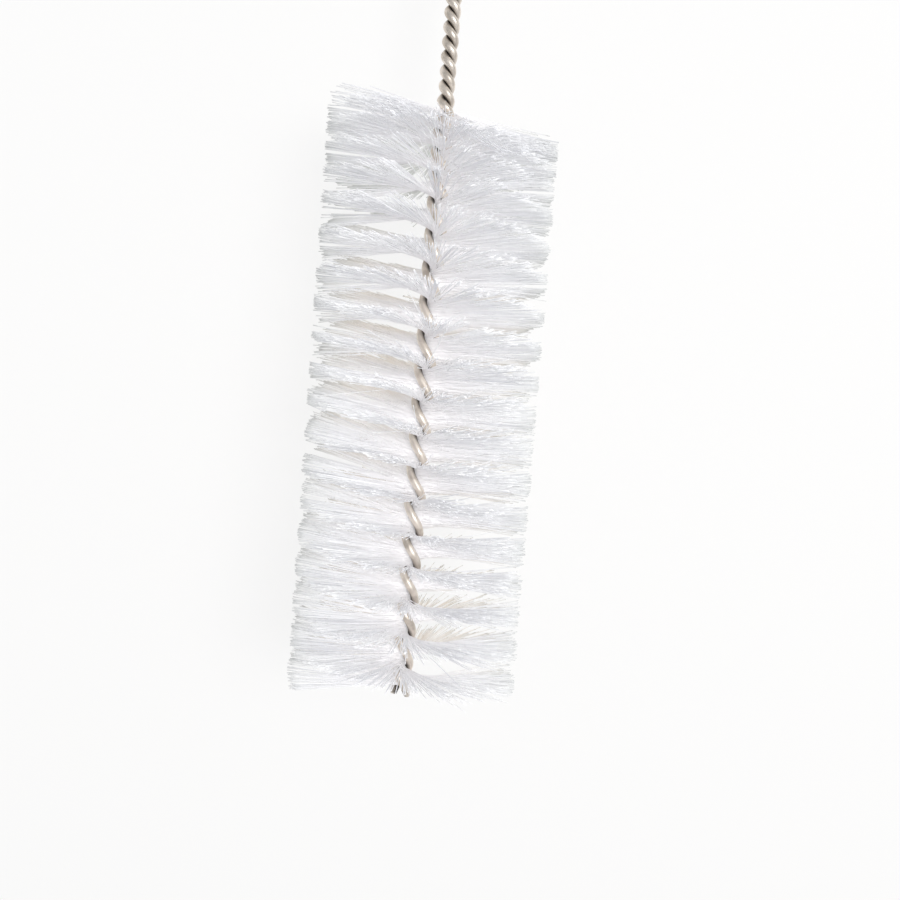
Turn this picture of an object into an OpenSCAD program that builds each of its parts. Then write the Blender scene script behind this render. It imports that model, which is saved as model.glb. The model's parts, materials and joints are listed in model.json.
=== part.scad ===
// Twisted-wire bottle brush, lying on its side as it comes to rest.
// One wire is folded in half: the fold is the hanging eye, its two halves are twisted
// together, and the nylon bristles are gripped between them along the head.
// The brush axis runs along +Y, from the tip of the head to the eye.

/* [Bristles] */
// Diameter of the bristle head
head_d = 45; // [30:1:60]
// Rows of bristles along the head, one for each half turn of the wire
rows = 19; // [8:1:24]
// Length of a row, which is a half turn of the wire, past the tight rows near the stem
row_len = 6.5; // [5.5:0.25:8]
// Length of the head over which the half turns grow from those of the bare stem
tight_run = 23; // [10:1:30]
// Fans of bristles in each row, on each side of the wire
fans_per_row = 5; // [4:1:7]
// Bristles in each fan
fan_bristles = 3; // [2:1:4]
// Width of a bristle bundle across the fan
bristle_w = 0.6; // [0.3:0.05:0.8]
// Thickness of a bristle bundle along the wire
bristle_t = 0.5; // [0.3:0.05:0.6]
// Lean of the bristles toward the eye, in degrees, at the middle of the head
bristle_lean = 3; // [0:1:20]
// Length at each end of the head over which the lean grows from nothing
lean_run = 26; // [10:1:36]
// Direction of the bristles nearest to the eye, in degrees from +X toward the floor
first_row_angle = 24; // [0:1:60]

/* [Wire] */
// Diameter of the wire
wire_d = 1.6; // [1.2:0.1:2]
// Length of one full turn of the bare stem, in wire diameters
stem_lay = 3.5; // [3.3:0.1:5]
// Full turns of twist in the bare stem
stem_turns = 27; // [16:1:29]
// Space between the two halves of the wire, which the bristles fill
bristle_bed = 1.2; // [0.8:0.1:1.4]
// The same space at the stem end of the head, where the twist is tightest
stem_end_bed = 0.4; // [0.3:0.05:0.6]
// Length of the head over which that space widens
bed_run = 6; // [4:1:12]
// Clearance between the bristles and the wire on each side of the bed
bed_clearance = 0.12; // [0.08:0.01:0.15]
// Clearance between the outside of the wire and where the fans of bristles start
root_clearance = 0.6; // [0.3:0.1:1]
// Clearance between the two halves of the wire in the bare stem
strand_clearance = 0.04; // [0.02:0.01:0.1]
// Length of bare wire past the last bristles at the tip
tip_stub = 2; // [1:0.5:6]
// Length of wire past the last bristles at the stem, before its two halves close up
stem_stub = 1; // [0.5:0.5:4]
// Length below the eye over which the twist runs out
run_out = 6; // [3:0.5:10]

/* [Hanging eye] */
// Inside width of the eye
eye_w = 18; // [12:1:26]
// Radius of the two bends that open the wire into the eye
eye_bend_r = 8; // [4:1:12]

/* [Rest] */
// Depth by which the lowest bristle ends are pressed flat where the brush lies
floor_press = 0.9; // [0.4:0.1:1.2]

/* [Hidden] */
// Facets: sides of the wire, and rings for each full turn of the head and of the stem
wire_sides = 8;
head_rings = 10;
stem_rings = 9;
run_out_rings = 5;
bend_rings = 4;
loop_rings = 23;

// The twist in the head: the half turns, counted down from its stem end, grow evenly
// with depth from those of the stem, and stay the same past tight_run
stem_pitch = stem_lay * wire_d;
first_row_len = stem_pitch / 2;
row_growth = (row_len - first_row_len) / tight_run;
tight_rows = ln(row_len / first_row_len) / row_growth;
function depth_of(half_turns) =
    half_turns < tight_rows ? first_row_len * (exp(row_growth * half_turns) - 1) / row_growth
    : tight_run + row_len * (half_turns - tight_rows);
function half_turns_at(depth) =
    depth < tight_run ? ln(1 + row_growth * depth / first_row_len) / row_growth
    : tight_rows + (depth - tight_run) / row_len;

// Stations along the brush, measured from the tip of the wire
wire_r = wire_d / 2;
head_r = head_d / 2;
head_start = tip_stub;
head_end = head_start + depth_of(rows);
stem_start = head_end + stem_stub;
first_turn = first_row_angle + 90;
stem_twist = stem_turns + first_turn / 360;
run_out_start = head_end + stem_pitch * stem_twist - run_out / 2;
eye_start = run_out_start + run_out;

// The space between the two halves at a station, and their distance from the brush axis
narrowing = wire_d;
function share_of(length, run) = max(0, min(1, length / run));
function bed_at(s) =
    s < head_end ? stem_end_bed
        + (bristle_bed - stem_end_bed) * share_of(head_end - s, bed_run)
    : stem_end_bed
        + (strand_clearance - stem_end_bed) * share_of(s - stem_start, narrowing);
function strand_r(s) = (wire_d + bed_at(s)) / 2;
stem_strand_r = strand_r(eye_start);

// The eye: one round loop, met by a bend on each side
loop_r = (eye_w + wire_d) / 2;
bend_x = stem_strand_r + eye_bend_r;
loop_rise = sqrt(pow(loop_r + eye_bend_r, 2) - pow(bend_x, 2));
bend_angle = atan2(loop_rise, bend_x);
loop_center = eye_start + loop_rise;
loop_span = 180 + 2 * bend_angle;
loop_step = loop_span / loop_rings;

// The bristles: fans that step around the wire, joined by the core that the wire grips,
// which is slim enough for the wire to turn around its corners. Each root is a small step
// thinner than its fans, so that no two faces coincide.
bristle_turn = 180 / fans_per_row / fan_bristles;
function core_t(s) = bed_at(s) - 2 * bed_clearance;
root_r = strand_r(head_start) + wire_r + root_clearance;
root_bite = root_clearance / 2;
face_step = 0.02;
fan_fill = 0.7;

function row_name(row) = str("bristle_row_", row < 10 ? "0" : "", row);

// Angle of the first half of the wire at a station; the twist is left-handed
function stem_angle(s) = first_turn - 360 * (s - head_end) / stem_pitch;
function run_out_angle(x) =
    stem_angle(run_out_start) - 360 * run_out * (x - x * x / 2) / stem_pitch;
function wire_angle(s) =
    s <= head_end ? first_turn + 180 * half_turns_at(head_end - s)
    : s <= run_out_start ? stem_angle(s)
    : run_out_angle((s - run_out_start) / run_out);

// Lean of the bristles at a station
function end_distance(s) = max(0, min(s - head_start, head_end - s));
function lean_at(s) = bristle_lean * sin(90 * min(1, end_distance(s) / lean_run));

// Stations of the rings along one half of the wire, from the tip to the eye
head_half_turns = half_turns_at(head_end);
head_ring_count = ceil(head_rings * head_half_turns / 2);
stem_ring_count = ceil(stem_rings * (run_out_start - head_end) / stem_pitch);
stations = concat(
    [for (i = [0 : head_ring_count - 1])
        head_end - depth_of(head_half_turns * (1 - i / head_ring_count))],
    [for (i = [0 : stem_ring_count - 1])
        head_end + (run_out_start - head_end) * i / stem_ring_count],
    [for (i = [0 : run_out_rings - 1]) run_out_start + run_out * i / run_out_rings]
);

// Each ring is its centre and the direction that faces away from the axis or the eye
function twist_ring(s, half) =
    let (angle = wire_angle(s) + 180 * half, out = [cos(angle), sin(angle), 0])
    [strand_r(s) * out + [0, 0, s], out];
function bend_ring(angle, side) =
    let (out = [side * cos(angle), 0, -sin(angle)])
    [[side * bend_x, 0, eye_start] - eye_bend_r * out, out];
function loop_ring(angle) =
    let (out = [cos(angle), 0, sin(angle)])
    [[0, 0, loop_center] + loop_r * out, out];

last_station = len(stations) - 1;
wire_path = concat(
    [for (i = [0 : last_station]) twist_ring(stations[i], 0)],
    [for (i = [0 : bend_rings - 1]) bend_ring(bend_angle * i / bend_rings, 1)],
    [for (i = [0 : loop_rings]) loop_ring(loop_step * i - bend_angle)],
    [for (i = [bend_rings - 1 : -1 : 0]) bend_ring(bend_angle * i / bend_rings, -1)],
    [for (i = [last_station : -1 : 0]) twist_ring(stations[i], 1)]
);

function unit(v) = v / norm(v);
function ring_corners(path, i) =
    let (
        last = len(path) - 1,
        along = unit(path[min(i + 1, last)][0] - path[max(i - 1, 0)][0]),
        out = unit(path[i][1] - (path[i][1] * along) * along),
        side = cross(along, out)
    )
    [for (j = [0 : wire_sides - 1])
        let (angle = 360 * (j + 0.5) / wire_sides)
        path[i][0] + wire_r * (cos(angle) * out + sin(angle) * side)];

// How the brush lies: on the head's edge nearest to the stem, and on the end of the eye,
// whose middle facet lies square to the axis
wire_flat = wire_r * cos(180 / wire_sides);
wire_corner = wire_r * sin(180 / wire_sides);
eye_foot = loop_center + (loop_r + wire_corner) * cos(loop_step / 2);
rest_tilt = atan((head_r - floor_press - wire_flat) / (eye_foot - head_end));
rest_height = head_end * sin(rest_tilt) + (head_r - floor_press) * cos(rest_tilt);
floor_block = 3 * head_d;

// The origin is under the middle of the brush's length
lying_y = [for (i = [0 : len(wire_path) - 1], p = ring_corners(wire_path, i))
    p[2] * cos(rest_tilt) - p[1] * sin(rest_tilt)];
mid_y = (min(lying_y) + max(lying_y)) / 2;

// A closed tube of round wire along a path of rings
module wire_tube(path) {
    n = wire_sides;
    rings = len(path);
    corners = [for (i = [0 : rings - 1]) each ring_corners(path, i)];
    skin = [for (i = [0 : rings - 2], j = [0 : n - 1])
        let (a = i * n + j, b = i * n + (j + 1) % n)
        each [[a, a + n, b + n], [a, b + n, b]]];
    caps = [[for (j = [0 : n - 1]) j], [for (j = [n - 1 : -1 : 0]) (rings - 1) * n + j]];
    polyhedron(corners, concat(skin, caps), convexity = 10);
}

// Outline of one fan seen along the wire, from its root to the bristle ends
function fan_direction(i) = bristle_turn * (i - (fan_bristles - 1) / 2);
function bristle_corner(i, edge) =
    let (angle = fan_direction(i))
    [head_r * cos(angle), head_r * sin(angle)]
    + edge * bristle_w / 2 * [-sin(angle), cos(angle)];
function fork_corner(i) =
    let (
        angle = fan_direction(i) + bristle_turn / 2,
        reach = max(root_r + root_bite, bristle_w / 2 / sin(bristle_turn / 2))
    )
    reach * [cos(angle), sin(angle)];
function fan_outline() = concat(
    [for (edge = [1, -1]) [root_r - root_bite, edge * bristle_w / 2]],
    [for (i = [0 : fan_bristles - 1]) each concat(
        [bristle_corner(i, -1), bristle_corner(i, 1)],
        i < fan_bristles - 1 ? [fork_corner(i)] : []
    )]
);

// A fan on one side of the wire: its plan stays the same whatever its lean
module fan(thickness, lean) {
    stretched = [for (p = fan_outline()) [(p[0] - root_r) / cos(lean), p[1]]];
    translate([root_r, 0, 0])
        rotate([0, -lean, 0])
            linear_extrude(height = thickness, center = true)
                polygon(stretched);
}

// The fans at one place in the twist, on both sides of the wire, with their root, which
// is as thin as the bed just past it
module fan_pair(half_turns) {
    s = head_end - depth_of(half_turns);
    spacing = depth_of(half_turns + 0.5 / fans_per_row)
        - depth_of(half_turns - 0.5 / fans_per_row);
    thickness = min(bristle_t, fan_fill * spacing);
    translate([0, 0, s])
        rotate([0, 0, wire_angle(s) - 90]) {
            cube([2 * root_r, core_t(s + thickness), thickness - 2 * face_step], center = true);
            for (side = [0, 180])
                rotate([0, 0, side])
                    fan(thickness, lean_at(s));
        }
}

// Lays a piece down from its own upright axis to the way the brush rests
module lie_down() {
    translate([0, -mid_y, rest_height])
        rotate([-90 - rest_tilt, 0, 0])
            children();
}

module wire() {
    color("#b9b2a6")
        lie_down()
            wire_tube(wire_path);
}

// Rows are numbered from the stem end of the head to its tip
module bristle_row(row) {
    first_fan = row - 1 + 0.5 / fans_per_row;
    last_fan = row - 0.5 / fans_per_row;
    core_len = depth_of(last_fan) - depth_of(first_fan);
    core_w = core_t(head_end - depth_of(first_fan)) / sqrt(2);
    color("#e4e4ea")
        difference() {
            lie_down() {
                translate([-core_w / 2, -core_w / 2, head_end - depth_of(last_fan)])
                    cube([core_w, core_w, core_len]);
                for (i = [0 : fans_per_row - 1])
                    fan_pair(first_fan + i / fans_per_row);
            }
            translate([0, 0, -floor_block / 2])
                cube([floor_block, 3 * eye_foot, floor_block], center = true);
        }
}

wire();
for (row = [1 : rows])
    bristle_row(row);
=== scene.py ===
"""A twisted-wire bottle brush that lies on its side on a pale floor.

One steel wire is folded in half. The fold is the hanging eye, its two halves are
twisted into the stem, and along the head they grip the nylon filaments between them.
Every length is in metres.
"""

import json
import logging
import math
from dataclasses import dataclass, field
from enum import Enum

import bpy
import numpy as np
from mathutils import Matrix, Vector


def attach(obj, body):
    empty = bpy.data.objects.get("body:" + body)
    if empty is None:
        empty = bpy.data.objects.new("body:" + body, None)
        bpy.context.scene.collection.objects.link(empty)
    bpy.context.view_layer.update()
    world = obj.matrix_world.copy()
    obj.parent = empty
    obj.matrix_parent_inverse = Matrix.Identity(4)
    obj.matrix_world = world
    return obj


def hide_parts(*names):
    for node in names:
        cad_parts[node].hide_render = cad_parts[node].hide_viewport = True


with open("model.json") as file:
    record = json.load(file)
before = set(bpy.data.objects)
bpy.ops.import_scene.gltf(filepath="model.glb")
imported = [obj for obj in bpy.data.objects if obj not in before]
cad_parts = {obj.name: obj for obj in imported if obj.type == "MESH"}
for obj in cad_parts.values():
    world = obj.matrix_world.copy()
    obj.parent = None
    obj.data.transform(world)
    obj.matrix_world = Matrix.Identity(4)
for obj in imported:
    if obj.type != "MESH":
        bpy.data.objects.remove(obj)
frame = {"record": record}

MM = 0.001
BODY = "root"
STRAND_MAP = "Strand"

Colour = tuple[float, float, float]

log = logging.getLogger("bottle_brush")


class WireHalf(Enum):
    """One of the two halves of the folded wire, by its turn around the brush axis."""

    FIRST = 0.0
    SECOND = math.pi


class Arm(Enum):
    """One of the two arms of a filament, which stand out on opposite sides of the wire."""

    THERE = 0
    BACK = 1


class Slot(Enum):
    """The record's material slots."""

    WIRE = "wire"
    BRISTLES = "bristles"


def smooth_step(share: np.ndarray) -> np.ndarray:
    """Rises smoothly from 0 to 1 as the share does, and stays flat outside."""
    inside = np.clip(share, 0.0, 1.0)
    return inside * inside * (3 - 2 * inside)


def put_in_scene(name: str, data: bpy.types.ID) -> bpy.types.Object:
    """Makes an object and links it to the scene.

    Args:
        name: Name of the object.
        data: Its mesh, light or camera.

    Returns:
        The object.
    """
    made = bpy.data.objects.new(name, data)
    bpy.context.scene.collection.objects.link(made)
    return made


# ---- Where the brush lies, and how its wire turns ----


@dataclass(frozen=True)
class BrushAxis:
    """The line through the middle of the brush, from the tip of its head to its eye.

    Stations are lengths along that line from the tip of the wire.
    """

    eye_center: np.ndarray
    along: np.ndarray
    up: np.ndarray
    side: np.ndarray
    eye_station: float

    @classmethod
    def from_frame(cls, record: dict, eye_station: float) -> "BrushAxis":
        """Reads the axis from the hanging eye's mount, which stands at its centre.

        Args:
            record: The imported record.
            eye_station: Station of the centre of the eye.

        Returns:
            The axis as the brush lies.
        """
        mount = record["mounts"][0]
        up = np.array(mount["axis"], float)
        up /= np.linalg.norm(up)
        side = np.array([1.0, 0.0, 0.0])
        along = np.cross(up, side)
        return cls(np.array(mount["pos_m"], float), along, up, side, eye_station)

    def place(self, across: np.ndarray, above: np.ndarray, station: np.ndarray) -> np.ndarray:
        """Turns places told from the axis into points in the row frame.

        Args:
            across: Distance to the side.
            above: Distance above the axis, square to it.
            station: Station along the axis.

        Returns:
            Points, with x, y and z as the last dimension.
        """
        return (
            self.eye_center
            + across[..., None] * self.side
            + above[..., None] * self.up
            + (station - self.eye_station)[..., None] * self.along
        )

    def point(self, station: float) -> np.ndarray:
        """The point of the axis at a station."""
        return self.eye_center + (station - self.eye_station) * self.along


@dataclass(frozen=True)
class Twist:
    """The left-handed twist of the two halves of the wire.

    Attributes:
        wire_d: Thickness of the wire.
        bristle_bed: Room for the filaments between the halves, deep in the head.
        stem_end_bed: The same room at the stem end of the head.
        bed_run: Length in which the room grows from one to the other.
        strand_clearance: Room between the halves in the bare stem.
        rows: Rows of filaments, one for each half turn of the head.
        row_len: Length of a half turn, past the tight stretch beside the stem.
        tight_run: Length of that tight stretch, where the half turns grow.
        first_row_angle: Angle at which the first row stands out.
        stem_lay: Length of a full turn of the stem, in thicknesses of wire.
        stem_turns: Full turns of the stem.
        tip_stub: Bare wire past the tip of the head.
        stem_stub: Bare wire above the head, before its halves close up.
        run_out: Length in which the twist slows to nothing below the eye.
    """

    wire_d: float = 1.6 * MM
    bristle_bed: float = 1.2 * MM
    stem_end_bed: float = 0.4 * MM
    bed_run: float = 6 * MM
    strand_clearance: float = 0.04 * MM
    rows: int = 19
    row_len: float = 6.5 * MM
    tight_run: float = 23 * MM
    first_row_angle: float = math.radians(24)
    stem_lay: float = 3.5
    stem_turns: int = 27
    tip_stub: float = 2 * MM
    stem_stub: float = 1 * MM
    run_out: float = 6 * MM

    @property
    def stem_pitch(self) -> float:
        """Length of one full turn of the bare stem."""
        return self.stem_lay * self.wire_d

    @property
    def growth(self) -> float:
        """Growth of a half turn's length for each length of head."""
        return (self.row_len - self.stem_pitch / 2) / self.tight_run

    @property
    def tight_rows(self) -> float:
        """Half turns in the stretch where they grow."""
        return math.log(2 * self.row_len / self.stem_pitch) / self.growth

    @property
    def head_end(self) -> float:
        """Station of the end of the head that is nearest to the stem."""
        return self.tip_stub + float(self.depth_of(np.array(float(self.rows))))

    @property
    def first_turn(self) -> float:
        """Angle of the first half of the wire at the stem end of the head."""
        return self.first_row_angle + math.pi / 2

    @property
    def run_out_start(self) -> float:
        """Station where the twist starts to run out below the eye."""
        turns = self.stem_turns + self.first_turn / math.tau
        return self.head_end + self.stem_pitch * turns - self.run_out / 2

    @property
    def eye_start(self) -> float:
        """Station where the two halves part into the eye."""
        return self.run_out_start + self.run_out

    def depth_of(self, half_turns: np.ndarray) -> np.ndarray:
        """Finds how deep in the head a half turn lies.

        Args:
            half_turns: Half turns counted from the stem end of the head.

        Returns:
            Depths below the stem end of the head.
        """
        short = self.stem_pitch / 2
        tight = short * (np.exp(self.growth * half_turns) - 1) / self.growth
        even = self.tight_run + self.row_len * (half_turns - self.tight_rows)
        return np.where(half_turns < self.tight_rows, tight, even)

    def half_turns_at(self, depth: np.ndarray) -> np.ndarray:
        """Finds how many half turns of the head lie above a depth.

        Args:
            depth: Depths below the stem end of the head.

        Returns:
            Half turns counted from the stem end of the head.
        """
        short = self.stem_pitch / 2
        inside = np.maximum(depth, 0.0)
        tight = np.log(1 + self.growth * inside / short) / self.growth
        even = self.tight_rows + (depth - self.tight_run) / self.row_len
        return np.where(depth < self.tight_run, tight, even)

    def angle(self, station: np.ndarray) -> np.ndarray:
        """Finds how far round the wire has turned.

        Args:
            station: Stations along the axis.

        Returns:
            Angle of the first half of the wire around the axis, from the side toward the floor.
        """
        head = self.first_turn + math.pi * self.half_turns_at(self.head_end - station)
        stem = self.first_turn - math.tau * (station - self.head_end) / self.stem_pitch
        last = np.clip((station - self.run_out_start) / self.run_out, 0.0, 1.0)
        slowing = math.tau * self.run_out * (last - last**2 / 2) / self.stem_pitch
        stem_len = self.run_out_start - self.head_end
        stem_last = self.first_turn - math.tau * stem_len / self.stem_pitch
        result = np.where(station <= self.head_end, head, stem)
        return np.where(station > self.run_out_start, stem_last - slowing, result)

    def bed_at(self, station: np.ndarray) -> np.ndarray:
        """Room between the two halves of the wire, which the filaments fill in the head.

        Args:
            station: Stations along the axis.

        Returns:
            The room at each station.
        """
        into_head = smooth_step((self.head_end - station) / self.bed_run)
        into_stem = smooth_step((station - self.head_end - self.stem_stub) / self.wire_d)
        head = self.stem_end_bed + (self.bristle_bed - self.stem_end_bed) * into_head
        stem = self.stem_end_bed + (self.strand_clearance - self.stem_end_bed) * into_stem
        return np.where(station < self.head_end, head, stem)

    def strand_r(self, station: np.ndarray) -> np.ndarray:
        """Distance of the middle of each half of the wire from the axis."""
        return (self.wire_d + self.bed_at(station)) / 2


# ---- Meshes ----


@dataclass
class TubeMesh:
    """Closed tubes swept along paths, gathered into one mesh."""

    points: list[np.ndarray] = field(default_factory=list)
    faces: list[np.ndarray] = field(default_factory=list)
    caps: list[np.ndarray] = field(default_factory=list)
    around: list[np.ndarray] = field(default_factory=list)
    lengthwise: list[np.ndarray] = field(default_factory=list)
    marks: dict[str, list[np.ndarray]] = field(default_factory=dict)
    count: int = 0

    def sweep(
        self,
        path: np.ndarray,
        radius: np.ndarray,
        out: np.ndarray,
        sides: int,
        marks: dict[str, np.ndarray],
    ) -> None:
        """Adds tubes that all have the same number of rings and sides.

        Args:
            path: Ring centres, as tube, ring, xyz.
            radius: Radius of each ring, as tube, ring.
            out: Direction of each ring's first side, as tube, ring, xyz.
            sides: Sides of each tube.
            marks: Values to keep on the mesh, as tube, ring, or as tube, ring, side.
        """
        tubes, rings = path.shape[:2]
        step = np.gradient(path, axis=1)
        tangent = step / np.linalg.norm(step, axis=-1, keepdims=True)
        first = out - np.sum(out * tangent, -1, keepdims=True) * tangent
        first /= np.linalg.norm(first, axis=-1, keepdims=True)
        second = np.cross(tangent, first)
        turn = math.tau * np.arange(sides) / sides
        offset = (
            np.cos(turn)[:, None] * first[:, :, None, :]
            + np.sin(turn)[:, None] * second[:, :, None, :]
        )
        ring_points = path[:, :, None, :] + radius[:, :, None, None] * offset
        index = self.count + np.arange(tubes * rings * sides).reshape(tubes, rings, sides)
        following = np.roll(index, -1, axis=2)
        quads = np.stack(
            [index[:, :-1], following[:, :-1], following[:, 1:], index[:, 1:]], axis=-1
        )
        self.points.append(ring_points.reshape(-1, 3))
        self.faces.append(quads.reshape(-1, 4))
        self.caps.append(np.concatenate([index[:, 0, ::-1], index[:, -1]]))
        travelled = np.cumsum(np.linalg.norm(np.diff(path, axis=1), axis=-1), axis=1)
        travelled = np.concatenate([np.zeros((tubes, 1)), travelled], axis=1)
        self.around.append(np.tile(np.arange(sides) / sides, tubes * rings))
        self.lengthwise.append(np.repeat(travelled.ravel(), sides))
        for name, value in marks.items():
            spread = np.broadcast_to(value[..., None] if value.ndim == 2 else value, index.shape)
            self.marks.setdefault(name, []).append(spread.ravel())
        self.count += tubes * rings * sides

    def build(self, name: str) -> bpy.types.Object:
        """Makes one object of all the tubes.

        Args:
            name: Name of the object.

        Returns:
            The object, linked to the scene.
        """
        quads = np.concatenate(self.faces)
        caps = np.concatenate(self.caps)
        corners = np.concatenate([quads.ravel(), caps.ravel()])
        cap_starts = quads.size + np.arange(len(caps)) * caps.shape[1]
        starts = np.concatenate([np.arange(len(quads)) * quads.shape[1], cap_starts])
        mesh = bpy.data.meshes.new(name)
        mesh.vertices.add(self.count)
        mesh.vertices.foreach_set("co", np.concatenate(self.points).astype(np.float32).ravel())
        mesh.loops.add(len(corners))
        mesh.loops.foreach_set("vertex_index", corners.astype(np.int32))
        mesh.polygons.add(len(starts))
        mesh.polygons.foreach_set("loop_start", starts.astype(np.int32))
        mesh.update(calc_edges=True)
        mesh.polygons.foreach_set("use_smooth", np.arange(len(starts)) < len(quads))
        around = np.concatenate(self.around)[corners]
        # A quad that closes the ring runs on past 1 instead of back to 0.
        on_quads = around[: quads.size].reshape(quads.shape)
        on_quads += on_quads < on_quads[:, :1]
        uv = np.stack([around, np.concatenate(self.lengthwise)[corners]], axis=-1)
        layer = mesh.uv_layers.new(name=STRAND_MAP)
        layer.data.foreach_set("uv", uv.astype(np.float32).ravel())
        for mark, values in self.marks.items():
            kept = mesh.attributes.new(mark, "FLOAT", "POINT")
            kept.data.foreach_set("value", np.concatenate(values).astype(np.float32))
        mesh.validate()
        return put_in_scene(name, mesh)


# ---- Finishes ----


def calculate(
    tree: bpy.types.NodeTree,
    operation: str,
    first: bpy.types.NodeSocket | float,
    second: bpy.types.NodeSocket | float,
) -> bpy.types.NodeSocket:
    """Works out a value from two others.

    Args:
        tree: The node tree.
        operation: Name of the operation, as the Math node has it.
        first: The first value, or a socket that gives it.
        second: The second value, or a socket that gives it.

    Returns:
        The socket of the result.
    """
    node = tree.nodes.new("ShaderNodeMath")
    node.operation = operation
    for socket, value in zip(node.inputs, (first, second)):
        if isinstance(value, bpy.types.NodeSocket):
            tree.links.new(value, socket)
        else:
            socket.default_value = value
    return node.outputs["Value"]


class NodeGroups:
    """The effects that more than one finish uses, each built once."""

    LINE_DETAIL = 3.0
    LINE_EDGE = 0.35
    PATCH_DETAIL = 4.0

    @staticmethod
    def _new(name: str, inputs: tuple[str, ...], outputs: tuple[str, ...]) -> bpy.types.NodeTree:
        """Starts a group with its named sockets, which are all plain values.

        Args:
            name: Name of the group.
            inputs: Names of the inputs.
            outputs: Names of the outputs.

        Returns:
            The group, with only its input and output nodes.
        """
        group = bpy.data.node_groups.new(name, "ShaderNodeTree")
        for way, labels in (("INPUT", inputs), ("OUTPUT", outputs)):
            for label in labels:
                group.interface.new_socket(name=label, in_out=way, socket_type="NodeSocketFloat")
        group.nodes.new("NodeGroupInput").name = "In"
        group.nodes.new("NodeGroupOutput").name = "Out"
        return group

    @classmethod
    def drawn_lines(cls) -> bpy.types.NodeTree:
        """Fine lines that run along a drawn strand, as a mask and a height.

        Returns:
            A group with inputs Lines, Stretch and Sharpness and outputs Mask and Height.
        """
        name = "drawn_lines"
        if name in bpy.data.node_groups:
            return bpy.data.node_groups[name]
        group = cls._new(name, ("Lines", "Stretch", "Sharpness"), ("Mask", "Height"))
        nodes, links = group.nodes, group.links
        given, result = nodes["In"], nodes["Out"]
        strand = nodes.new("ShaderNodeUVMap")
        strand.uv_map = STRAND_MAP
        scale = nodes.new("ShaderNodeCombineXYZ")
        stretched = nodes.new("ShaderNodeVectorMath")
        stretched.operation = "MULTIPLY"
        noise = nodes.new("ShaderNodeTexNoise")
        noise.inputs["Scale"].default_value = 1.0
        noise.inputs["Detail"].default_value = cls.LINE_DETAIL
        edge = nodes.new("ShaderNodeMapRange")
        edge.inputs["From Min"].default_value = cls.LINE_EDGE
        widest = calculate(group, "SUBTRACT", 1.0, given.outputs["Sharpness"])
        links.new(given.outputs["Lines"], scale.inputs["X"])
        links.new(given.outputs["Stretch"], scale.inputs["Y"])
        links.new(strand.outputs["UV"], stretched.inputs[0])
        links.new(scale.outputs["Vector"], stretched.inputs[1])
        links.new(stretched.outputs["Vector"], noise.inputs["Vector"])
        links.new(noise.outputs["Fac"], edge.inputs["Value"])
        links.new(widest, edge.inputs["From Max"])
        links.new(edge.outputs["Result"], result.inputs["Mask"])
        links.new(noise.outputs["Fac"], result.inputs["Height"])
        return group

    @classmethod
    def patches(cls) -> bpy.types.NodeTree:
        """Soft uneven patches over a surface, as a mask.

        Returns:
            A group with inputs Size, Low and High and the output Mask.
        """
        name = "patches"
        if name in bpy.data.node_groups:
            return bpy.data.node_groups[name]
        group = cls._new(name, ("Size", "Low", "High"), ("Mask",))
        nodes, links = group.nodes, group.links
        given, result = nodes["In"], nodes["Out"]
        place = nodes.new("ShaderNodeTexCoord")
        noise = nodes.new("ShaderNodeTexNoise")
        noise.inputs["Detail"].default_value = cls.PATCH_DETAIL
        edge = nodes.new("ShaderNodeMapRange")
        links.new(place.outputs["Object"], noise.inputs["Vector"])
        links.new(given.outputs["Size"], noise.inputs["Scale"])
        links.new(noise.outputs["Fac"], edge.inputs["Value"])
        links.new(given.outputs["Low"], edge.inputs["From Min"])
        links.new(given.outputs["High"], edge.inputs["From Max"])
        links.new(edge.outputs["Result"], result.inputs["Mask"])
        return group


def place_group(
    tree: bpy.types.NodeTree, group: bpy.types.NodeTree, **values: float
) -> bpy.types.Node:
    """Puts a group into a material.

    Args:
        tree: The material's node tree.
        group: The group.
        **values: Values for the group's inputs.

    Returns:
        The group's node.
    """
    node = tree.nodes.new("ShaderNodeGroup")
    node.node_tree = group
    for name, value in values.items():
        node.inputs[name].default_value = value
    return node


@dataclass(frozen=True)
class DrawnLines:
    """Fine lines along a strand: how many around it, how many a metre, and how sharp."""

    around: float
    per_metre: float
    sharpness: float

    def place(self, tree: bpy.types.NodeTree) -> bpy.types.Node:
        """Puts the lines into a material.

        Args:
            tree: The material's node tree.

        Returns:
            The node that gives their Mask and Height.
        """
        return place_group(
            tree,
            NodeGroups.drawn_lines(),
            Lines=self.around,
            Stretch=self.per_metre,
            Sharpness=self.sharpness,
        )


@dataclass(frozen=True)
class Patches:
    """Soft uneven patches: how many a metre, and where their edges start and end."""

    per_metre: float
    low: float
    high: float

    def place(self, tree: bpy.types.NodeTree) -> bpy.types.Node:
        """Puts the patches into a material.

        Args:
            tree: The material's node tree.

        Returns:
            The node that gives their Mask.
        """
        return place_group(
            tree, NodeGroups.patches(), Size=self.per_metre, Low=self.low, High=self.high
        )


def start_finish(name: str) -> tuple[bpy.types.Material, bpy.types.NodeTree, bpy.types.Node]:
    """Starts a material.

    Args:
        name: Name of the material.

    Returns:
        The material, its node tree and its shader.
    """
    made = bpy.data.materials.new(name)
    made.use_nodes = True
    return made, made.node_tree, made.node_tree.nodes["Principled BSDF"]


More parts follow.
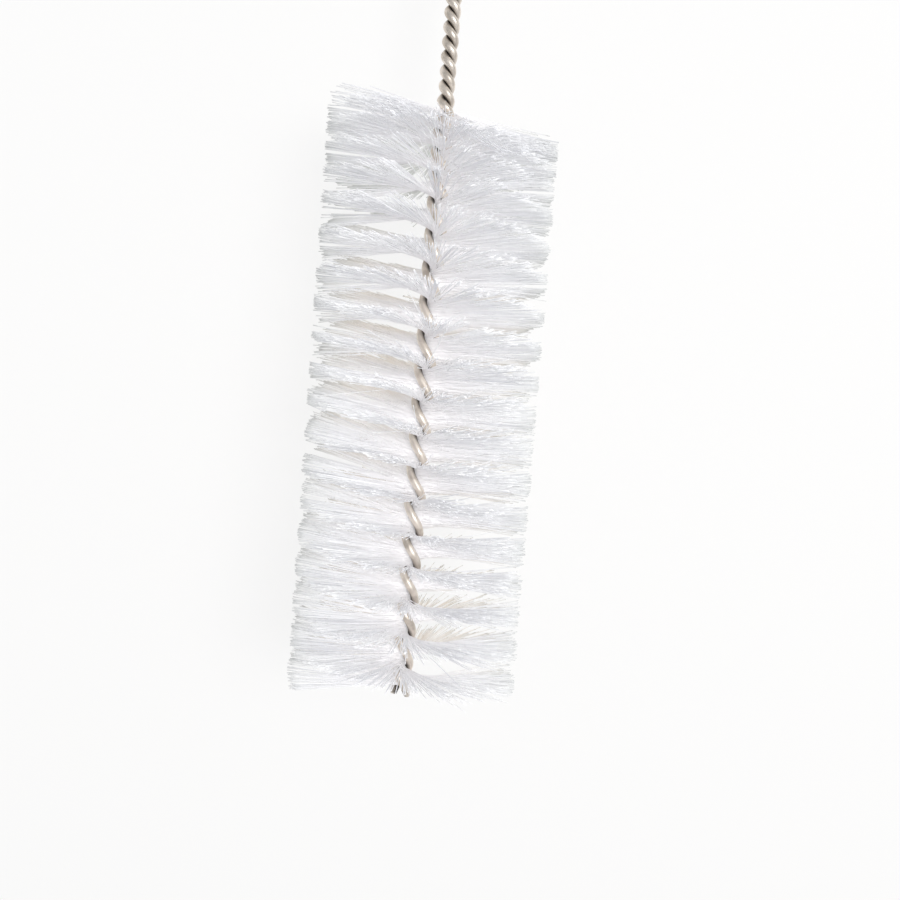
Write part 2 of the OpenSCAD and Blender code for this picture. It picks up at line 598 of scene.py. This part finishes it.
def blend_colours(
    tree: bpy.types.NodeTree,
    mask: bpy.types.NodeSocket,
    below: bpy.types.NodeSocket | Colour,
    above: bpy.types.NodeSocket | Colour,
) -> bpy.types.NodeSocket:
    """Blends two colours by a mask.

    Args:
        tree: The material's node tree.
        mask: 0 where the first colour shows and 1 where the second does.
        below: The first colour, or a socket that gives it.
        above: The second colour, or a socket that gives it.

    Returns:
        The socket of the blended colour.
    """
    mix = tree.nodes.new("ShaderNodeMix")
    mix.data_type = "RGBA"
    tree.links.new(mask, mix.inputs["Factor"])
    for label, colour in (("A", below), ("B", above)):
        socket = next(s for s in mix.inputs if s.name == label and s.type == "RGBA")
        if isinstance(colour, bpy.types.NodeSocket):
            tree.links.new(colour, socket)
        else:
            socket.default_value = (*colour, 1.0)
    return next(s for s in mix.outputs if s.type == "RGBA")


def scaled(
    tree: bpy.types.NodeTree, value: bpy.types.NodeSocket, low: float, high: float
) -> bpy.types.NodeSocket:
    """Maps a mask from 0 and 1 to two other values.

    Args:
        tree: The material's node tree.
        value: The mask.
        low: Result where the mask is 0.
        high: Result where the mask is 1.

    Returns:
        The socket of the result.
    """
    node = tree.nodes.new("ShaderNodeMapRange")
    node.inputs["To Min"].default_value = low
    node.inputs["To Max"].default_value = high
    tree.links.new(value, node.inputs["Value"])
    return node.outputs["Result"]


def read_mark(tree: bpy.types.NodeTree, name: str) -> bpy.types.NodeSocket:
    """Reads a value that the mesh keeps for each point.

    Args:
        tree: The material's node tree.
        name: Name of the mark.

    Returns:
        The socket of the value.
    """
    node = tree.nodes.new("ShaderNodeAttribute")
    node.attribute_name = name
    return node.outputs["Fac"]


def raise_lines(
    tree: bpy.types.NodeTree, lines: bpy.types.Node, strength: float, height: float
) -> None:
    """Makes the drawn lines stand out from the surface.

    Args:
        tree: The material's node tree.
        lines: The node of the lines.
        strength: Share of the height that shows.
        height: How far they stand out.
    """
    bump = tree.nodes.new("ShaderNodeBump")
    bump.inputs["Strength"].default_value = strength
    bump.inputs["Distance"].default_value = height
    tree.links.new(lines.outputs["Height"], bump.inputs["Height"])
    tree.links.new(bump.outputs["Normal"], tree.nodes["Principled BSDF"].inputs["Normal"])


@dataclass(frozen=True)
class WireFinish:
    """Zinc-coated steel wire: pale and soft-bright outside, with painted shade in the grooves."""

    zinc: Colour = (0.83, 0.76, 0.68)
    worn: Colour = (0.56, 0.50, 0.43)
    # Painted shade: the near-black colour of the groove between the two halves.
    groove: Colour = (0.05, 0.04, 0.033)
    metallic: float = 0.85
    smooth: float = 0.28
    dull: float = 0.62
    lines: DrawnLines = DrawnLines(22.0, 260.0, 0.35)
    patches: Patches = Patches(420.0, 0.42, 0.68)
    line_strength: float = 0.4
    line_height: float = 0.02 * MM

    def material(self) -> bpy.types.Material:
        """Builds the finish.

        Returns:
            The material.
        """
        made, tree, shader = start_finish("zinc_coated_wire")
        shader.inputs["Metallic"].default_value = self.metallic
        lines = self.lines.place(tree)
        patches = self.patches.place(tree)
        zinc = blend_colours(tree, patches.outputs["Mask"], self.zinc, self.worn)
        # The groove mark paints shade where the two halves of the wire meet.
        colour = blend_colours(tree, read_mark(tree, "groove"), zinc, self.groove)
        roughness = scaled(tree, lines.outputs["Mask"], self.smooth, self.dull)
        tree.links.new(colour, shader.inputs["Base Color"])
        tree.links.new(roughness, shader.inputs["Roughness"])
        raise_lines(tree, lines, self.line_strength, self.line_height)
        return made


@dataclass(frozen=True)
class NylonFinish:
    """Clear white nylon filament.

    Each filament is a little different. Near its root it is painted an even pale pinkish white,
    which is painted light, and its cut tip is painted darker on the sides and the floor side,
    which is painted shade. Its floor
    side also has painted shade: grey near the stem and beige deeper in the head.
    """

    clear: Colour = (0.64, 0.645, 0.685)
    milky: Colour = (0.98, 0.98, 0.988)
    # Painted shade: dark grey-green for the cut tips on the sides and the floor side, none on the
    # top.
    tip: Colour = (0.38, 0.40, 0.38)
    tip_shade_share: float = 0.6
    # Painted light: an even pale pinkish white near the root, which lifts the dense core out of
    # its shade.
    root: Colour = (0.93, 0.915, 0.925)
    # Painted shade on the floor side: grey near the stem, beige deeper in the head.
    grey_underside_shade: Colour = (0.75, 0.76, 0.745)
    beige_underside_shade: Colour = (0.85, 0.80, 0.745)
    streak_share: float = 0.35
    roughness: float = 0.26
    patch_roughness: float = 0.15
    ior: float = 1.53
    lines: DrawnLines = DrawnLines(6.0, 420.0, 0.3)
    patches: Patches = Patches(160.0, 0.35, 0.7)
    line_strength: float = 0.3
    line_height: float = 0.01 * MM

    def material(self) -> bpy.types.Material:
        """Builds the finish.

        Returns:
            The material.
        """
        made, tree, shader = start_finish("nylon_filament")
        shader.inputs["IOR"].default_value = self.ior
        lines = self.lines.place(tree)
        patches = self.patches.place(tree)
        strand = blend_colours(tree, read_mark(tree, "tone"), self.clear, self.milky)
        streaks = scaled(tree, lines.outputs["Mask"], 0.0, self.streak_share)
        streaked = blend_colours(tree, streaks, strand, self.milky)
        # The root mark paints light near the root: an even pale pinkish white.
        with_root_light = blend_colours(tree, read_mark(tree, "root_shade"), streaked, self.root)
        # Painted shade on the floor side: the deep mark turns it from grey to beige.
        underside_shade_colour = blend_colours(tree, read_mark(tree, "deep"), self.grey_underside_shade, self.beige_underside_shade)
        with_underside_shade = blend_colours(tree, read_mark(tree, "underside"), with_root_light, underside_shade_colour)
        # The tip mark paints shade on the cut tips, fading out toward the top.
        tip = scaled(tree, read_mark(tree, "tip"), 0.0, self.tip_shade_share)
        colour = blend_colours(tree, tip, with_underside_shade, self.tip)
        rough = self.roughness + self.patch_roughness
        roughness = scaled(tree, patches.outputs["Mask"], self.roughness, rough)
        tree.links.new(colour, shader.inputs["Base Color"])
        tree.links.new(roughness, shader.inputs["Roughness"])
        raise_lines(tree, lines, self.line_strength, self.line_height)
        return made


@dataclass(frozen=True)
class FloorFinish:
    """Pale floor that stays white to the eye and keeps a soft shadow."""

    paper: Colour = (0.93, 0.91, 0.88)
    roughness: float = 0.9
    specular: float = 0.1
    white: Colour = (0.908, 0.911, 0.916)
    whiteness: float = 0.8

    def material(self) -> bpy.types.Material:
        """Builds the finish.

        Returns:
            The material.
        """
        made, tree, shader = start_finish("pale_floor")
        nodes, links = tree.nodes, tree.links
        shader.inputs["Base Color"].default_value = (*self.paper, 1.0)
        shader.inputs["Roughness"].default_value = self.roughness
        shader.inputs["Specular IOR Level"].default_value = self.specular
        rays = nodes.new("ShaderNodeLightPath")
        seen = calculate(
            tree, "MAXIMUM", rays.outputs["Is Camera Ray"], rays.outputs["Is Glossy Ray"]
        )
        through = calculate(tree, "MAXIMUM", seen, rays.outputs["Is Transmission Ray"])
        share = calculate(tree, "MULTIPLY", through, self.whiteness)
        glow = nodes.new("ShaderNodeEmission")
        glow.inputs["Color"].default_value = (*self.white, 1.0)
        mix = nodes.new("ShaderNodeMixShader")
        links.new(share, mix.inputs["Fac"])
        links.new(shader.outputs["BSDF"], mix.inputs[1])
        links.new(glow.outputs["Emission"], mix.inputs[2])
        links.new(mix.outputs["Shader"], nodes["Material Output"].inputs["Surface"])
        return made


# ---- The brush ----


@dataclass(frozen=True)
class HangingEye:
    """The loop where the wire is folded, and the two bends that lead into it."""

    twist: Twist
    inside_w: float = 18 * MM
    bend_r: float = 8 * MM

    @property
    def loop_r(self) -> float:
        """Radius of the loop, to the middle of the wire."""
        return (self.inside_w + self.twist.wire_d) / 2

    @property
    def bend_x(self) -> float:
        """Distance of the bends' centres from the axis."""
        return (self.twist.wire_d + self.twist.strand_clearance) / 2 + self.bend_r

    @property
    def rise(self) -> float:
        """Distance from where the halves part to the middle of the loop."""
        return math.sqrt((self.loop_r + self.bend_r) ** 2 - self.bend_x**2)

    @property
    def bend_angle(self) -> float:
        """Angle that each bend turns through."""
        return math.atan2(self.rise, self.bend_x)


@dataclass
class TwistedWire:
    """The one wire: its two twisted halves, and the eye where it is folded.

    Attributes:
        sides: Sides of the wire's mesh.
        rings_per_turn: Rings in each full turn.
        bend_rings: Rings in each bend beside the eye.
        loop_rings: Rings around the loop.
        groove_start: Raises how far the painted shade in the groove reaches up each side.
        groove_reach: Width of the fade from the painted shade to the bare wire.
        groove_bend_part: The painted shade ends past the twist, at the bend's radius divided by
            this.
        end_burr: How much thinner the two cut ends are.
    """

    axis: BrushAxis
    twist: Twist
    eye: HangingEye
    sides: int = 16
    rings_per_turn: int = 20
    bend_rings: int = 12
    loop_rings: int = 72
    groove_start: float = 0.5
    groove_reach: float = 1.3
    groove_bend_part: float = 3.0
    end_burr: float = 0.15 * MM

    def stations(self) -> np.ndarray:
        """Spaces the rings along one half of the wire.

        Returns:
            Their stations, from the tip to where the halves part.
        """
        twist = self.twist
        head_turns = float(twist.half_turns_at(np.array(twist.head_end))) / 2
        count = math.ceil(self.rings_per_turn * head_turns)
        half_turns = 2 * head_turns * (1 - np.arange(count) / count)
        head = twist.head_end - twist.depth_of(half_turns)
        stem_len = twist.eye_start - twist.head_end
        count = math.ceil(self.rings_per_turn * stem_len / twist.stem_pitch)
        return np.concatenate([head, twist.head_end + stem_len * np.arange(count) / count])

    def half_path(self, which: WireHalf) -> tuple[np.ndarray, np.ndarray]:
        """The path of one half, as seen from the axis.

        Args:
            which: The half.

        Returns:
            Ring centres, as across, below and station, and the direction away from the axis.
        """
        station = self.stations()
        angle = self.twist.angle(station) + which.value
        out = np.stack([np.cos(angle), np.sin(angle), np.zeros_like(angle)], axis=-1)
        middle = np.stack([np.zeros_like(station), np.zeros_like(station), station], axis=-1)
        return middle + self.twist.strand_r(station)[:, None] * out, out

    def bend_path(self, side: float, angle: np.ndarray) -> tuple[np.ndarray, np.ndarray]:
        """The path of a bend between one half and the loop.

        Args:
            side: 1 for the bend of the first half, -1 for that of the second.
            angle: How far round the bend each ring is.

        Returns:
            Ring centres, as across, below and station, and the direction away from the eye.
        """
        out = np.stack([side * np.cos(angle), 0 * angle, -np.sin(angle)], axis=-1)
        center = np.array([side * self.eye.bend_x, 0.0, self.twist.eye_start])
        return center - self.eye.bend_r * out, out

    def eye_path(self) -> tuple[np.ndarray, np.ndarray]:
        """The path of the eye, from one half to the other.

        Returns:
            Ring centres, as across, below and station, and the direction away from the eye.
        """
        eye = self.eye
        bend = eye.bend_angle * np.arange(self.bend_rings) / self.bend_rings
        span = math.pi + 2 * eye.bend_angle
        turn = span * np.arange(self.loop_rings + 1) / self.loop_rings - eye.bend_angle
        out = np.stack([np.cos(turn), 0 * turn, np.sin(turn)], axis=-1)
        loop = np.array([0.0, 0.0, self.twist.eye_start + eye.rise]) + eye.loop_r * out
        there, there_out = self.bend_path(1.0, bend)
        back, back_out = self.bend_path(-1.0, bend[::-1])
        return np.concatenate([there, loop, back]), np.concatenate([there_out, out, back_out])

    def build(self) -> bpy.types.Object:
        """Makes the whole wire as one closed tube.

        Returns:
            The wire, dressed.
        """
        first, first_out = self.half_path(WireHalf.FIRST)
        second, second_out = self.half_path(WireHalf.SECOND)
        eye, eye_out = self.eye_path()
        path = np.concatenate([first, eye, second[::-1]])
        out = np.concatenate([first_out, eye_out, second_out[::-1]])
        lying = self.axis.place(path[:, 0], -path[:, 1], path[:, 2])
        axis = self.axis
        away = out[:, :1] * axis.side - out[:, 1:2] * axis.up + out[:, 2:] * axis.along
        radius = np.full(len(path), self.twist.wire_d / 2)
        radius[[0, -1]] -= self.end_burr
        # The groove mark tells where shade is painted on the wire.
        marks = {"groove": self.groove_shade_mask(path)[None]}
        tube = TubeMesh()
        tube.sweep(lying[None], radius[None], away[None], self.sides, marks)
        piece = tube.build("twisted_wire")
        piece.data.materials.append(WireFinish().material())
        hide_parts("wire")
        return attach(piece, BODY)

    def groove_shade_mask(self, path: np.ndarray) -> np.ndarray:
        """How deep each point of the wire lies in the groove between its two halves, where shade
        is painted.

        Args:
            path: Ring centres, as across, below and station.

        Returns:
            The mask, as ring, side.
        """
        turn = math.tau * np.arange(self.sides) / self.sides
        facing = smooth_step((-np.cos(turn) + self.groove_start) / self.groove_reach)
        groove_shade_end = self.twist.eye_start + self.eye.bend_r / self.groove_bend_part
        twisted = np.clip((groove_shade_end - path[:, 2]) / self.twist.wire_d, 0.0, 1.0)
        return twisted[:, None] * facing[None, :]


@dataclass(frozen=True)
class SideSet:
    """A lean that use has left in the filaments of one side of the head.

    Attributes:
        lean: Lean toward the eye, or toward the tip where it is negative.
        toward: Heading of the middle of that side.
        half_width: How far to each side of the middle it reaches.
        depths: Depths below the stem end of the head.
        shares: Share of the lean at each of those depths.
    """

    lean: float
    toward: float
    half_width: float
    depths: tuple[float, ...]
    shares: tuple[float, ...]

    def at(self, depth: np.ndarray, heading: np.ndarray) -> np.ndarray:
        """Works out the lean that the set adds.

        Args:
            depth: Depth of each filament below the stem end of the head.
            heading: Angle that each one points at, from the side toward the floor.

        Returns:
            The lean added to each filament.
        """
        limit = math.cos(self.half_width)
        facing = (np.cos(heading - self.toward) - limit) / (1 - limit)
        return self.lean * np.interp(depth, self.depths, self.shares) * np.clip(facing, 0.0, 1.0)


def one_side_set(
    lean: float,
    toward: float,
    half_width: float,
    depths: tuple[float, ...],
    shares: tuple[float, ...],
) -> SideSet:
    """Makes a set from degrees and millimetres.

    Args:
        lean: Lean, in degrees.
        toward: Heading of the middle, in degrees.
        half_width: Reach to each side, in degrees.
        depths: Depths, in millimetres.
        shares: Share of the lean at each depth.

    Returns:
        The set.
    """
    return SideSet(
        math.radians(lean),
        math.radians(toward),
        math.radians(half_width),
        tuple(depth * MM for depth in depths),
        shares,
    )


@dataclass
class BristleHead:
    """The nylon filaments, each gripped at its middle between the two halves of the wire.

    Depths are below the stem end of the head. Lengths that end in run are those in which
    a change takes place.
    """

    axis: BrushAxis
    twist: Twist

    # The filaments
    head_d: float = 45 * MM
    filament_d: float = 0.15 * MM
    thickness_range: tuple[float, float] = (0.85, 1.15)
    filaments_per_mm: float = 50.0
    straight_reach: float = 0.9 * MM
    ring_shares: tuple[float, ...] = (1.0, 0.94, 0.7, 0.42, 0.2, 0.0)
    sides: int = 4
    seed: int = 20

    # How they lean
    lean: float = math.radians(3)
    lean_run: float = 26 * MM
    deep_lean: float = math.radians(3)
    deep_from: float = 38 * MM
    deep_run: float = 26 * MM
    sets: tuple[SideSet, ...] = (
        one_side_set(-18, 289, 64, (0, 6.5), (1, 0)),
        one_side_set(-5, 238, 34, (0, 5), (1, 0)),
        one_side_set(2, 190, 24, (0, 4), (1, 0)),
        one_side_set(-5, 303, 32, (0, 5), (1, 0)),
        one_side_set(-10, 325, 62, (0, 24), (1, 0)),
        one_side_set(8, 140, 48, (12, 26), (0, 1)),
        one_side_set(-14, 170, 13, (6, 16, 50, 60), (0, 1, 1, 0)),
        one_side_set(-6, 30, 50, (40, 55, 88, 104), (0, 1, 1, 0)),
    )

    # How far they differ from their neighbours
    lean_spread: float = math.radians(0.8)
    turn_spread: float = math.radians(4)
    end_spread: float = math.radians(9)
    end_droop: float = math.radians(4.5)
    end_spread_run: float = 6.5 * MM
    deep_spread: float = math.radians(2.6)
    deep_spread_from: float = 46 * MM
    deep_spread_run: float = 16 * MM
    clump_size: int = 11
    clump_lean: float = math.radians(0.9)
    clump_turn: float = math.radians(5)
    stray_share: float = 0.012
    stray_lean: float = math.radians(7)
    widest: float = 1.8
    sway: float = 0.3 * MM
    trim: float = 0.4 * MM

    # Where their colour changes, and where light and shade are painted on them
    # Painted light near the root reaches out to this distance from the axis.
    root_light_reach: float = 16 * MM
    # Painted shade on the floor side: how far below the axis it grows, and where it turns from
    # grey to beige.
    underside_shade_reach: float = 15 * MM
    beige_shade_from: float = 14 * MM
    beige_shade_run: float = 26 * MM
    # Painted shade near the cut ends, and the length over which it fades out toward the top.
    tip_shade_reach: float = 3.0 * MM
    tip_shade_fade: float = 19 * MM
    lock_size: int = 7
    lock_tone: tuple[float, float] = (1.0, 0.6)
    own_tone: tuple[float, float] = (1.5, 0.75)
    lock_share: float = 0.6
    end_grey: float = 0.5
    end_grey_run: float = 10 * MM

    def lean_at(self, depth: np.ndarray, heading: np.ndarray) -> np.ndarray:
        """Works out how far the filaments lean toward the eye.

        The common lean grows from nothing at both ends of the head. Another is added deep in
        the head, and each side has sets of its own.

        Args:
            depth: Depth of each filament below the stem end of the head.
            heading: Angle that each one points at, from the side toward the floor.

        Returns:
            The lean of each filament.
        """
        length = self.twist.head_end - self.twist.tip_stub
        to_end = np.clip(np.minimum(depth, length - depth), 0.0, self.lean_run)
        lean = self.lean * np.sin(math.pi / 2 * to_end / self.lean_run)
        lean = lean + self.deep_lean * smooth_step((depth - self.deep_from) / self.deep_run)
        return lean + sum(bend.at(depth, heading) for bend in self.sets)

    def arms(
        self, depth: np.ndarray, offset: np.ndarray, arm: Arm, rng: np.random.Generator
    ) -> np.ndarray:
        """Lays one arm of each filament, from its cut tip to the wire.

        Args:
            depth: Depth of each filament below the stem end of the head.
            offset: Place of each one across the room between the two halves of the wire.
            arm: Which of the two arms.
            rng: Source of the small differences between filaments.

        Returns:
            Points from the tip to the wire, as filament, ring, and across, below and station.
        """
        count = len(depth)
        clump = (np.arange(count) + rng.integers(0, self.clump_size)) // self.clump_size
        clump_lean = rng.normal(0, self.clump_lean, clump[-1] + 1)[clump]
        clump_turn = rng.normal(0, self.clump_turn, clump[-1] + 1)[clump]
        station = self.twist.head_end - depth
        gripped = self.twist.angle(station) - math.pi / 2 + arm.value * math.pi
        near_stem = np.clip(1 - depth / self.end_spread_run, 0.0, 1.0)
        spread = self.turn_spread + self.end_spread * near_stem
        heading = gripped + clump_turn + rng.normal(0, spread)
        stray = rng.uniform(0, 1, count) < self.stray_share
        lean_spread = np.where(stray, self.stray_lean, self.lean_spread)
        droop = self.end_droop * near_stem
        on_side = np.clip(np.cos(heading), 0.0, 1.0)
        deep = smooth_step((depth - self.deep_spread_from) / self.deep_spread_run)
        lean_spread = lean_spread + self.deep_spread * on_side * deep
        own_lean = lean_spread * np.clip(rng.normal(0, 1, count), -self.widest, self.widest)
        lean = self.lean_at(depth, heading) + clump_lean + own_lean
        lean = lean - droop * np.minimum(np.abs(rng.normal(0, 1, count)), self.widest)
        reach = self.head_d / 2 - np.abs(rng.normal(0, self.trim, count))
        sway_round, sway_along = rng.normal(0, self.sway, (2, count))
        flat = offset * (-1) ** arm.value
        bend_across = self.straight_reach * np.cos(gripped) - flat * np.sin(gripped)
        bend_below = self.straight_reach * np.sin(gripped) + flat * np.cos(gripped)
        rings = []
        for share in self.ring_shares:
            past = share * (reach - self.straight_reach)
            drift = sway_round * share**2
            across = bend_across + past * np.cos(heading) - drift * np.sin(heading)
            below = bend_below + past * np.sin(heading) + drift * np.cos(heading)
            over = np.maximum(np.hypot(across, below) / (self.head_d / 2), 1.0)
            rise = past * np.tan(lean) + sway_along * share**2
            rings.append(np.stack([across / over, below / over, station + rise], axis=-1))
        return np.stack(rings, axis=1)

    def tones(self, depth: np.ndarray, rng: np.random.Generator) -> np.ndarray:
        """Picks how milky each filament is: part of it is shared by a whole lock of them.

        Args:
            depth: Depth of each filament. Those beside the stem are greyer.
            rng: Source of the picks.

        Returns:
            The tone of each, from 0 for clear to 1 for milky.
        """
        count = len(depth)
        locks = np.arange(count) // self.lock_size
        lock = rng.beta(*self.lock_tone, count // self.lock_size + 1)[locks]
        tone = self.lock_share * lock + (1 - self.lock_share) * rng.beta(*self.own_tone, count)
        return tone * (1 - self.end_grey * np.exp(-depth / self.end_grey_run))

    def marks(
        self, path: np.ndarray, depth: np.ndarray, tone: np.ndarray
    ) -> dict[str, np.ndarray]:
        """Works out the values that the nylon's finish reads from the mesh, painted light and
        shade among them.

        Args:
            path: Points of each filament, as filament, ring, and across, below and station.
            depth: Depth of each filament below the stem end of the head.
            tone: How milky each one is.

        Returns:
            Each mark, as filament, ring.
        """
        below = path[..., 1]
        from_axis = np.hypot(path[..., 0], below)
        cut_end = smooth_step(1 + (from_axis - self.head_d / 2) / self.tip_shade_reach)
        beige_shade_share = smooth_step((depth - self.beige_shade_from) / self.beige_shade_run)
        return {
            "tone": np.broadcast_to(tone[:, None], below.shape),
            # Painted light near the root, fading out with distance from the axis.
            "root_shade": np.clip(1 - from_axis / self.root_light_reach, 0.0, 1.0),
            # Painted shade at the cut tips, on the sides and the floor side but not on the top.
            "tip": cut_end * np.clip(1 + below / self.tip_shade_fade, 0.0, 1.0),
            # Painted shade on the floor side, and how far it has turned from grey to beige.
            "underside": smooth_step(below / self.underside_shade_reach),
            "deep": np.broadcast_to(beige_shade_share[:, None], below.shape),
        }

    def build_row(
        self, row: int, rng: np.random.Generator, finish: bpy.types.Material
    ) -> bpy.types.Object:
        """Makes the filaments that one half turn of the wire grips.

        Args:
            row: Number of the row, from 1 at the stem end of the head.
            rng: Source of the small differences between filaments.
            finish: The nylon.

        Returns:
            The row, dressed.
        """
        top, bottom = (float(self.twist.depth_of(np.array(float(k)))) for k in (row - 1, row))
        count = round((bottom - top) / MM * self.filaments_per_mm)
        depth = top + (bottom - top) * (np.arange(count) + rng.uniform(0, 1, count)) / count
        station = self.twist.head_end - depth
        room = (self.twist.bed_at(station) - self.filament_d) / 2
        offset = rng.uniform(-1, 1, count) * room
        there = self.arms(depth, offset, Arm.THERE, rng)
        back = self.arms(depth, offset, Arm.BACK, rng)[:, ::-1]
        gripped = self.twist.angle(station) - math.pi / 2
        root = np.stack([-offset * np.sin(gripped), offset * np.cos(gripped), station], axis=-1)
        path = np.concatenate([there, root[:, None], back], axis=1)
        thick = self.filament_d / 2 * rng.uniform(*self.thickness_range, (count, 1))
        tone = self.tones(depth, rng)
        lying = self.axis.place(path[..., 0], -path[..., 1], path[..., 2])
        lying[..., 2] = np.maximum(lying[..., 2], thick)
        radius = np.broadcast_to(thick, path.shape[:2])
        out = np.broadcast_to(self.axis.along, lying.shape)
        tube = TubeMesh()
        tube.sweep(lying, radius, out, self.sides, self.marks(path, depth, tone))
        piece = tube.build(f"bristles_{row:02d}")
        piece.data.materials.append(finish)
        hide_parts(f"bristle_row_{row:02d}")
        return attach(piece, BODY)

    def build(self) -> list[bpy.types.Object]:
        """Makes every row of the head.

        Returns:
            The rows, from the stem end to the tip.
        """
        rng = np.random.default_rng(self.seed)
        finish = NylonFinish().material()
        return [self.build_row(row, rng, finish) for row in range(1, self.twist.rows + 1)]


# ---- The studio ----


@dataclass(frozen=True)
class Lamp:
    """One square lamp. A fill lightens the shadows: it casts none, and isn't reflected."""

    name: str
    place: tuple[float, float, float]
    size: float
    watts: float
    fill: bool

    def hang(self, target: Vector) -> None:
        """Hangs the lamp.

        Args:
            target: The point that it faces.
        """
        light = bpy.data.lights.new(self.name, "AREA")
        light.size = self.size
        light.energy = self.watts
        light.use_shadow = not self.fill
        lamp = put_in_scene(self.name, light)
        lamp.visible_glossy = not self.fill
        lamp.location = Vector(self.place)
        lamp.rotation_euler = (target - lamp.location).to_track_quat("-Z", "Y").to_euler()


@dataclass
class Studio:
    """Floor, lamps and camera around the brush.

    Attributes:
        camera_distance: Height of the camera above the axis, square to it.
        view_depth: Depth in the head that the camera stands over and the lamps face.
        aim_past: How far past that the camera is aimed, toward the tip.
        aim_side: How far beside the axis it is aimed.
        stem_lean: How far the stem leans from upright in the view.
        lens: Length of the lens, in millimetres.
        clip_start: Nearest distance that the camera sees.
        floor_reach: Reach of the floor to each side.
        room_colour: Colour of the light from all around.
        room_strength: Strength of that light.
    """

    axis: BrushAxis
    twist: Twist
    camera_distance: float = 180 * MM
    view_depth: float = 57.4 * MM
    aim_past: float = 8.0 * MM
    aim_side: float = 6.1 * MM
    stem_lean: float = math.radians(4.5)
    lens: float = 36.7
    clip_start: float = 10 * MM
    floor_reach: float = 3.0
    room_colour: Colour = (0.97, 0.98, 1.0)
    room_strength: float = 0.4
    lamps: tuple[Lamp, ...] = (
        Lamp("window", (0.28, 0.05, 0.72), 0.35, 2.9, False),
        Lamp("left_fill", (-0.52, 0.0, 0.54), 0.5, 2.58, True),
        Lamp("right_fill", (0.52, 0.0, 0.54), 0.5, 2.58, True),
    )

    def build_floor(self) -> None:
        """Lays the floor."""
        reach = self.floor_reach
        mesh = bpy.data.meshes.new("floor")
        corners = [(-reach, -reach, 0), (reach, -reach, 0), (reach, reach, 0), (-reach, reach, 0)]
        mesh.from_pydata(corners, [], [(0, 1, 2, 3)])
        mesh.materials.append(FloorFinish().material())
        floor = put_in_scene("floor", mesh)

    def build_lights(self) -> None:
        """Lights the room evenly, and hangs the window lamp and the two fills."""
        world = bpy.data.worlds.new("room")
        world.use_nodes = True
        room = world.node_tree.nodes["Background"]
        room.inputs["Color"].default_value = (*self.room_colour, 1.0)
        room.inputs["Strength"].default_value = self.room_strength
        bpy.context.scene.world = world
        target = Vector(self.axis.point(self.twist.head_end - self.view_depth))
        for lamp in self.lamps:
            lamp.hang(target)

    def build_camera(self) -> None:
        """Sets the camera over the head, looking down at it nearly square to the axis."""
        axis = self.axis
        station = self.twist.head_end - self.view_depth
        eye = Vector(axis.point(station) + self.camera_distance * axis.up)
        aim = Vector(axis.point(station - self.aim_past) + self.aim_side * axis.side)
        forward = (aim - eye).normalized()
        upright = Vector(
            axis.along * math.cos(self.stem_lean) - axis.side * math.sin(self.stem_lean)
        )
        right = forward.cross(upright).normalized()
        over = right.cross(forward)
        turn = Matrix((right, over, -forward)).transposed()
        data = bpy.data.cameras.new("camera")
        data.lens = self.lens
        data.clip_start = self.clip_start
        camera = put_in_scene("camera", data)
        camera.matrix_world = Matrix.Translation(eye) @ turn.to_4x4()
        bpy.context.scene.camera = camera

    def build(self) -> None:
        """Sets up the camera, the floor and the lights."""
        self.build_camera()
        self.build_floor()
        self.build_lights()
        bpy.context.scene.view_settings.view_transform = "Standard"


def main() -> None:
    """Builds the brush and its studio, and reports each piece."""
    logging.basicConfig(level=logging.INFO, format="%(name)s: %(message)s")
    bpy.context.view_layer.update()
    twist = Twist()
    eye = HangingEye(twist)
    axis = BrushAxis.from_frame(frame["record"], twist.eye_start + eye.rise)
    Studio(axis, twist).build()
    pieces = [TwistedWire(axis, twist, eye).build(), *BristleHead(axis, twist).build()]
    for piece in pieces:
        log.info("%s: %d faces", piece.name, len(piece.data.polygons))


if __name__ == "__main__":
    main()
